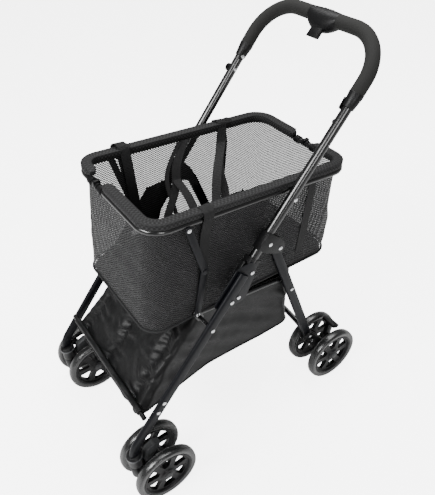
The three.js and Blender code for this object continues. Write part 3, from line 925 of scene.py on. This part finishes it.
def perimeter(half_x, half_y, corner):
    return 4 * (half_x + half_y - 2 * corner) + 2 * math.pi * corner


def round_rim(t):
    return round_loop(*RIM_HALF, RIM_CORNER, t)


BAG_FLOOR = 0.4505
BAG_BASE = (0.1578, 0.2515, 0.045)
BAG_TOP = (0.1520, 0.2480, 0.040)
BAG_DROP = 0.010


def wall_point(t, v, out=0.0):
    """A point of the bag's wall: t round it, v up it, moved out from the cloth."""
    xb, yb, nx, ny = round_loop(*BAG_BASE, t)
    xt, yt, mx, my = round_loop(*BAG_TOP, t)
    low = Vector((xb, yb * 1.012 + 0.016, BAG_FLOOR - BAG_DROP * max(0.0, yb / 0.25)))
    high = on_rim(xt, yt, 0.004)
    away = Vector((nx, ny, 0)).lerp(Vector((mx, my, 0)), v).normalized()
    slack = math.sin(math.pi * v)
    point = low.lerp(high, v)
    drift = lumps(point.x * 7, point.y * 7, point.z * 9)
    folds = lumps((point.y + point.z * 0.8) * 34, point.x * 6, point.z * 4 + 5)
    swell = slack * (0.0015 + 0.0045 * drift + 0.0022 * folds + 0.0014 * math.sin(2 * math.pi * v))
    return point + away * (swell + out)


def carrier_folds(piece):
    """Gives a soft piece of the carrier a mesh of its own."""
    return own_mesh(piece)


def carrier():
    hoop = bent_tube(
        [on_rim(*round_rim(k / 120)[:2]) for k in range(120)], 0.0068, closed=True, sides=8
    )
    keep(hoop, "rim_hoop", "rim_frame", GLOSS, ("rim_tube",))

    round_it = perimeter(*BAG_BASE)
    near_net = net("carrier net", (0.0085, 0.0085, 0.0088), round_it, 0.25, 0.0074, 0.30)
    walls = wrapped(240, 30, wall_point, closed_across=True)
    keep(walls, "net_walls", "rim_frame", near_net, ("carrier_bag",), 180)
    carrier_folds(walls)

    hem = bent_tube(
        [wall_point(k / 160, 0.0, 0.0012) + Vector((0, 0, 0.001)) for k in range(160)], 0.0026,
        closed=True
    )
    carrier_folds(keep(hem, "bottom_binding", "rim_frame", BINDING))

    inset = [size - 0.001 for size in BAG_BASE]
    loop = [round_loop(*inset, k / 48) for k in range(48)]
    base = BAG_FLOOR - 0.0012
    edge = [(x, y * 1.012 + 0.016, base - BAG_DROP * y / 0.25 * (y > 0)) for x, y, _, _ in loop]
    sole = outline(edge, 0)
    bpy.ops.mesh.extrude_region_move(TRANSFORM_OT_translate={"value": (0, 0, 0.0016)})
    shut()
    carrier_folds(keep(tidy(sole), "bag_sole", "rim_frame", NYLON))

    def band(t0, t1):
        def place(u, v):
            t = t0 + (t1 - t0) * u
            x, y, nx, ny = round_rim(t)
            turn = 2 * math.pi * v
            a, b = math.cos(turn), math.sin(turn)
            end = min(u, 1 - u) * (t1 - t0) * 1.5
            shrink = 0.55 + 0.45 * min(1.0, end / 0.012) ** 0.5
            wide = 0.0118 * math.copysign(abs(a) ** 0.45, a) * shrink
            tall = 0.0078 * math.copysign(abs(b) ** 0.5, b) * shrink
            lump = 1 + 0.05 * lumps(x * 30, y * 30, 3)
            return on_rim(
                x + nx * (wide * lump - 0.0062), y + ny * (wide * lump - 0.0062),
                0.0128 + tall * lump
            )

        length = (t1 - t0) * perimeter(*RIM_HALF, RIM_CORNER)
        cells = max(24, int(length / 0.008))
        piece = capped(wrapped(cells, 24, place, closed_along=True))
        return piece, net(
            f"band net {t0:.2f}", (0.0066, 0.0066, 0.0069), length, 0.06, 0.0086, 0.45,
            see_through=False
        )

    total = perimeter(*RIM_HALF, RIM_CORNER)
    rear = 0.5 - 0.018 / total
    front_near, front_far = -0.030 / total, 1 - 0.090 / total
    for name, t0, t1 in (("near", front_near, rear - 0.022), ("far", rear + 0.022, front_far)):
        piece, cloth = band(t0, t1)
        keep(piece, f"rim_band_{name}", "rim_frame", cloth, (), 60)
        piping = []
        for out, up in ((0.0046, 0.0188), (-0.0166, 0.0188)):
            line = []
            for k in range(81):
                x, y, nx, ny = round_rim(t0 + (t1 - t0) * (0.012 + 0.976 * k / 80))
                line.append(on_rim(x + nx * out, y + ny * out, up))
            piping.append(bent_tube(line, 0.0013, sides=3))
        keep(joined(piping), f"band_piping_{name}", "rim_frame", BINDING)
    for name, t0, t1 in (
        ("front", front_far - 1, front_near), ("rear", rear - 0.022, rear + 0.022)
    ):
        middle = (t0 + t1) / 2
        ends = []
        for share in (0.12, 0.88):
            t = t0 + (t1 - t0) * share
            x, y, _, _ = round_rim(t)
            ends.append(disc((0, 0), 0.0095, 0, 0.014, 0.0085, 28))
            ends[-1].location = on_rim(x - 0.007, y)
        x, y, _, _ = round_rim(middle)
        knuckle = disc((0, 0), 0.0082, -0.010, 0.010, 0.007, 24)
        knuckle.location = on_rim(x, y, 0.001)
        strap = plate(
            [(-0.008, -0.002), (0.008, -0.002), (0.008, 0.011), (-0.008, 0.011)], -0.004, 0.004,
            0.003
        )
        strap.location = on_rim(x, y, 0.002)
        keep(joined(ends + [knuckle, strap]), f"rim_hinge_{name}", "rim_frame", PLASTIC)


TAPE_THICK, RIB_PITCH = 0.0014, 0.0022


def webbing(name, path, across, width):
    """A strap of webbing along a path, its width along across."""
    across = Vector(across).normalized() * width / 2
    path = [Vector(p) for p in path]
    smooth = []
    for i in range(len(path) - 1):
        p0, p1, p2, p3 = path[max(i - 1, 0)], path[i], path[i + 1], path[min(i + 2, len(path) - 1)]
        for k in range(6):
            t = k / 6
            smooth.append(0.5 * (2 * p1 + (p2 - p0) * t + (2 * p0 - 5 * p1 + 4 * p2 - p3) * t * t
                                 + (3 * p1 - p0 - 3 * p2 + p3) * t ** 3))
    smooth.append(path[-1])
    count = len(smooth) - 1
    length = sum((smooth[i + 1] - smooth[i]).length for i in range(count))
    piece = wrapped(2, count, lambda u, v: smooth[round(v * count)] + across * (2 * u - 1))
    for loop in piece.data.uv_layers.active.data:
        loop.uv.y *= length / RIB_PITCH
    modified(piece, "SOLIDIFY", thickness=TAPE_THICK, offset=0.0)
    keep(piece, name, "rim_frame", TAPE, smooth=40)
    carrier_folds(piece)


OVER_RIM = ((0.1425, 0.004), (0.1430, 0.018), (0.1490, 0.0222), (0.1600, 0.0222), (0.1692, 0.017),
            (0.1698, 0.004), (0.1660, -0.008))
UNDER_RIM = ((0.1570, -0.004),)


def straps():
    """The straps down the carrier's walls, then the loose webbing inside it."""
    for name, y0, y1, side, start, width in (
        ("near_front", -0.080, -0.112, 1, OVER_RIM, 0.024),
        ("near_rear", 0.201, 0.163, 1, UNDER_RIM, 0.022),
        ("far_front", -0.098, -0.096, -1, OVER_RIM, 0.024),
        ("far_rear", 0.185, 0.160, -1, OVER_RIM, 0.022)
    ):
        path = [on_rim(side * x, y0 - RIM_Y, z) for x, z in start]
        for k in range(1, 7):
            share = k / 7
            y = y0 + (y1 - y0) * share
            rim_z = RIM_Z - 0.0975 * (y - RIM_Y)
            z = rim_z - 0.012 - (rim_z - 0.464) * share
            path.append(Vector((side * (0.1585 + 0.0015 * share), y, z)))
        webbing(f"strap_{name}", path, (0, 1, 0), width)

    for name, lean, width, path in (
        (
            "handle_loop_front_down", 0.25, 0.023,
            [
                on_rim(-0.170, -0.160, 0.002), on_rim(-0.171, -0.158, 0.020),
                on_rim(-0.160, -0.155, 0.030), on_rim(-0.146, -0.152, 0.026),
                on_rim(-0.139, -0.148, 0.004), (-0.132, -0.100, 0.640), (-0.128, -0.100, 0.575),
                (-0.122, -0.102, 0.500)
            ]
        ),
        (
            "handle_loop_rear_down", 0.35, 0.023,
            [
                on_rim(-0.1675, 0.118, 0.004), on_rim(-0.1675, 0.118, 0.020),
                on_rim(-0.158, 0.118, 0.0235), on_rim(-0.144, 0.118, 0.022), (-0.136, 0.160, 0.655),
                (-0.080, 0.105, 0.600), (-0.020, 0.060, 0.540), (0.045, 0.030, 0.510)
            ]
        ),
        (
            "handle_loop_rear_side", 0.3, 0.022,
            [
                on_rim(-0.141, 0.118, 0.010), (-0.128, 0.150, 0.640), (-0.090, 0.120, 0.605),
                (-0.055, 0.110, 0.560), (-0.020, 0.085, 0.520), (0.004, 0.072, 0.485)
            ]
        ),
        (
            "harness_far", 0.3, 0.022,
            [
                on_rim(-0.142, 0.010, 0.004), (-0.125, 0.020, 0.640), (-0.105, 0.000, 0.590),
                (-0.082, -0.040, 0.545), (-0.060, -0.075, 0.505)
            ]
        ),
        (
            "harness_cross", 0.3, 0.021,
            [
                (-0.112, 0.008, 0.610), (-0.070, 0.015, 0.575), (-0.020, 0.010, 0.530),
                (0.040, 0.000, 0.480)
            ]
        ),
        (
            "tether", 0.3, 0.0105,
            [
                on_rim(-0.142, -0.006, 0.002), (-0.125, -0.010, 0.620), (-0.080, -0.020, 0.540),
                (-0.040, -0.026, 0.478)
            ]
        )
    ):
        webbing(name, path, (lean, 1, 0), width)


def inside_pocket():
    clear()
    bpy.ops.mesh.primitive_cube_add(
        size=1, location=(-0.050, -0.105, 0.505), scale=(0.070, 0.014, 0.075)
    )
    pocket = settled(bpy.context.object)
    opened(pocket)
    bpy.ops.mesh.subdivide(number_cuts=5)
    shut()
    for vertex in pocket.data.vertices:
        p = vertex.co
        vertex.co.y += 0.006 * noise.noise(p * 24) - 0.10 * (p.z - 0.505)
        vertex.co.x -= 0.22 * (p.z - 0.505)
    modified(pocket, "SUBSURF", levels=2, render_levels=2)
    carrier_folds(keep(pocket, "inside_pocket", "rim_frame", NYLON, (), 180))


def pad():
    low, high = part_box("floor_pad")
    clear()
    bpy.ops.mesh.primitive_cube_add(size=1, location=(low + high) / 2)
    piece = bpy.context.object
    piece.scale = (high - low) - Vector((0.004, 0.004, 0.003))
    settled(piece)
    for edge in piece.data.edges:
        a, b = (piece.data.vertices[i].co for i in edge.vertices)
        edge.select = abs(a.z - b.z) > 0.005
    bpy.ops.object.mode_set(mode="EDIT")
    bpy.ops.mesh.select_mode(type="EDGE")
    bpy.ops.mesh.bevel(offset=0.038, segments=8, affect="EDGES")
    shut()
    modified(piece, "REMESH", mode="VOXEL", voxel_size=0.005)
    rest = [v.co.copy() for v in piece.data.vertices]
    cloth = piece.modifiers.new("stuffing", "CLOTH")
    cloth.settings.use_pressure = True
    cloth.settings.uniform_pressure_force = 4
    cloth.settings.effector_weights.gravity = 0
    scene = bpy.context.scene
    for step in range(1, 21):
        scene.frame_set(step)
    only(piece)
    bpy.ops.object.modifier_apply(modifier=cloth.name)
    scene.frame_set(1)
    for vertex, start in zip(piece.data.vertices, rest):
        move = vertex.co - start
        if move.length > 0.006:
            vertex.co = start + move * (0.006 / move.length)
        vertex.co.z = max(vertex.co.z, low.z - 0.0005)
    for vertex in piece.data.vertices:
        p = vertex.co
        if p.z > (low.z + high.z) / 2:
            seam = min(abs(p.y - 0.10), abs(p.y + 0.07))
            p.z -= 0.0035 * math.exp(-((seam / 0.007) ** 2))
    modified(piece, "SUBSURF", levels=1, render_levels=1)
    carrier_folds(keep(piece, "padded_floor", "rim_frame", PAD_CLOTH, ("floor_pad",), 180))


# ---------- storage bag ----------
GATHERS = (-0.112, -0.006, 0.112)
STORAGE_TOP = (0.148, 0.130, 0.016)
STORAGE_BOTTOM = (0.150, 0.130, 0.016)
STORAGE_FRONT, STORAGE_REAR = -0.309, 0.156
WALL_SHARE = 0.72


def storage_point(t, v):
    """The storage bag's wall: t round it from the middle of its front, v down from its top edge."""
    x, y, nx, ny = round_loop(*STORAGE_TOP, t)
    front = max(0.0, min(1.0, (-y + 0.02) / 0.13))
    z_top = 0.436 - 0.026 * min(1.0, (y + 0.130) / 0.255)
    high = Vector((x, y * 1.04 + 0.016, z_top))
    xb, yb, _, _ = round_loop(*STORAGE_BOTTOM, t)
    stretch = (yb + 0.130) / 0.260
    yb = STORAGE_FRONT + (STORAGE_REAR - STORAGE_FRONT) * stretch
    widen = 1 + 0.185 * max(0.0, min(1.0, (-yb - 0.10) / 0.20))
    low = Vector((xb * widen, yb, 0.246 + 0.009 * math.sin(math.pi * min(1.0, stretch * 1.25))))
    point = high.lerp(low, v)
    away = Vector((nx, ny, 0))
    slack = math.sin(math.pi * min(1.0, v))
    crumple = lumps(point.x * 16, point.y * 14, point.z * 15)
    fine = lumps(point.x * 55 + 9, point.y * 40, point.z * 34)
    depth = slack * (0.0075 * crumple + 0.0030 * fine) * (0.45 + 0.55 * front)
    if front > 0.6 and abs(nx) < 0.5:
        for line in GATHERS:
            near = math.exp(-(((x - line) / 0.011) ** 2))
            pleat = math.sin(v * 150 + 2.5 * lumps(line * 40, v * 9, 0))
            depth += near * (0.0024 * pleat - 0.0060)
            fan = math.exp(-(((x - line) / 0.034) ** 2))
            depth += fan * 0.0024 * math.sin(v * 46 + 5 * lumps(x * 22, v * 6, line * 9))
        depth += slack * (0.003 + 0.004 * lumps(x * 26 + 4, v * 5, 2))
    elif abs(nx) > 0.5:
        slope = lumps((point.y * 0.7 + point.z) * 26, 0, (point.z - point.y) * 4)
        depth += slack * (0.0085 * slope - 0.004)
    return point + away * depth


def storage():
    def skin(u, v):
        if v <= WALL_SHARE:
            return storage_point(u, v / WALL_SHARE)
        edge = storage_point(u, 1.0)
        share = (v - WALL_SHARE) / (1 - WALL_SHARE)
        middle = Vector((edge.x * 0.02, -0.080 + (edge.y + 0.080) * 0.02, 0.240))
        point = edge.lerp(middle, share)
        point.z += (0.003 * noise.noise(point * 22) - 0.004) * math.sin(math.pi * share)
        return point

    piece = wrapped(300, 96, skin, closed_across=True)
    modified(piece, "SOLIDIFY", thickness=0.0011, offset=-1.0)
    keep(piece, "storage_bag", "front_frame", NYLON, ("storage_basket",), 180)
    storage_folds(piece)

    hem = bent_tube([storage_point(k / 200, 0.0) for k in range(200)], 0.0024, closed=True)
    storage_folds(keep(hem, "storage_top_hem", "front_frame", NYLON))
    rim = bent_tube([storage_point(k / 200, 1.0) for k in range(200)], 0.0020, closed=True)
    storage_folds(keep(rim, "storage_bottom_piping", "front_frame", NYLON))
    places = [k / 30 * 0.176 for k in range(-30, 31)]
    sleeve = bent_tube(
        [Vector((x, -0.302, 0.256 + 0.0012 * math.sin(x * 90))) for x in places], 0.0086
    )
    keep(sleeve, "storage_rod_sleeve", "front_frame", NYLON)
    eyelets = []
    for v in (0.10, 0.93):
        for x in GATHERS:
            centre = storage_point((1 if x < 0 else 0) + x / 1.08, v)
            clear()
            bpy.ops.mesh.primitive_torus_add(
                major_radius=0.0032, minor_radius=0.0010, major_segments=20, minor_segments=8,
                location=centre + Vector((0, -0.0025, 0.001)), rotation=(math.radians(50), 0, 0)
            )
            eyelets.append(bpy.context.object)
    storage_folds(keep(joined(eyelets), "storage_eyelets", "front_frame", GREY_PLASTIC))


def storage_folds(piece):
    """Gives a piece of the storage bag a mesh of its own."""
    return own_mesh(piece)


def axles():
    for name, _ in SIDES:
        for node in (f"front_axle_{name}", f"rear_axle_{name}"):
            rod = frame["nodes"][node]
            rod.data.materials.clear()
            rod.data.materials.append(RIVET[0])


studio()
handle()
rivets()
front_frame()
base_loop()
wheels()
carrier()
straps()
inside_pocket()
pad()
storage()
axles()
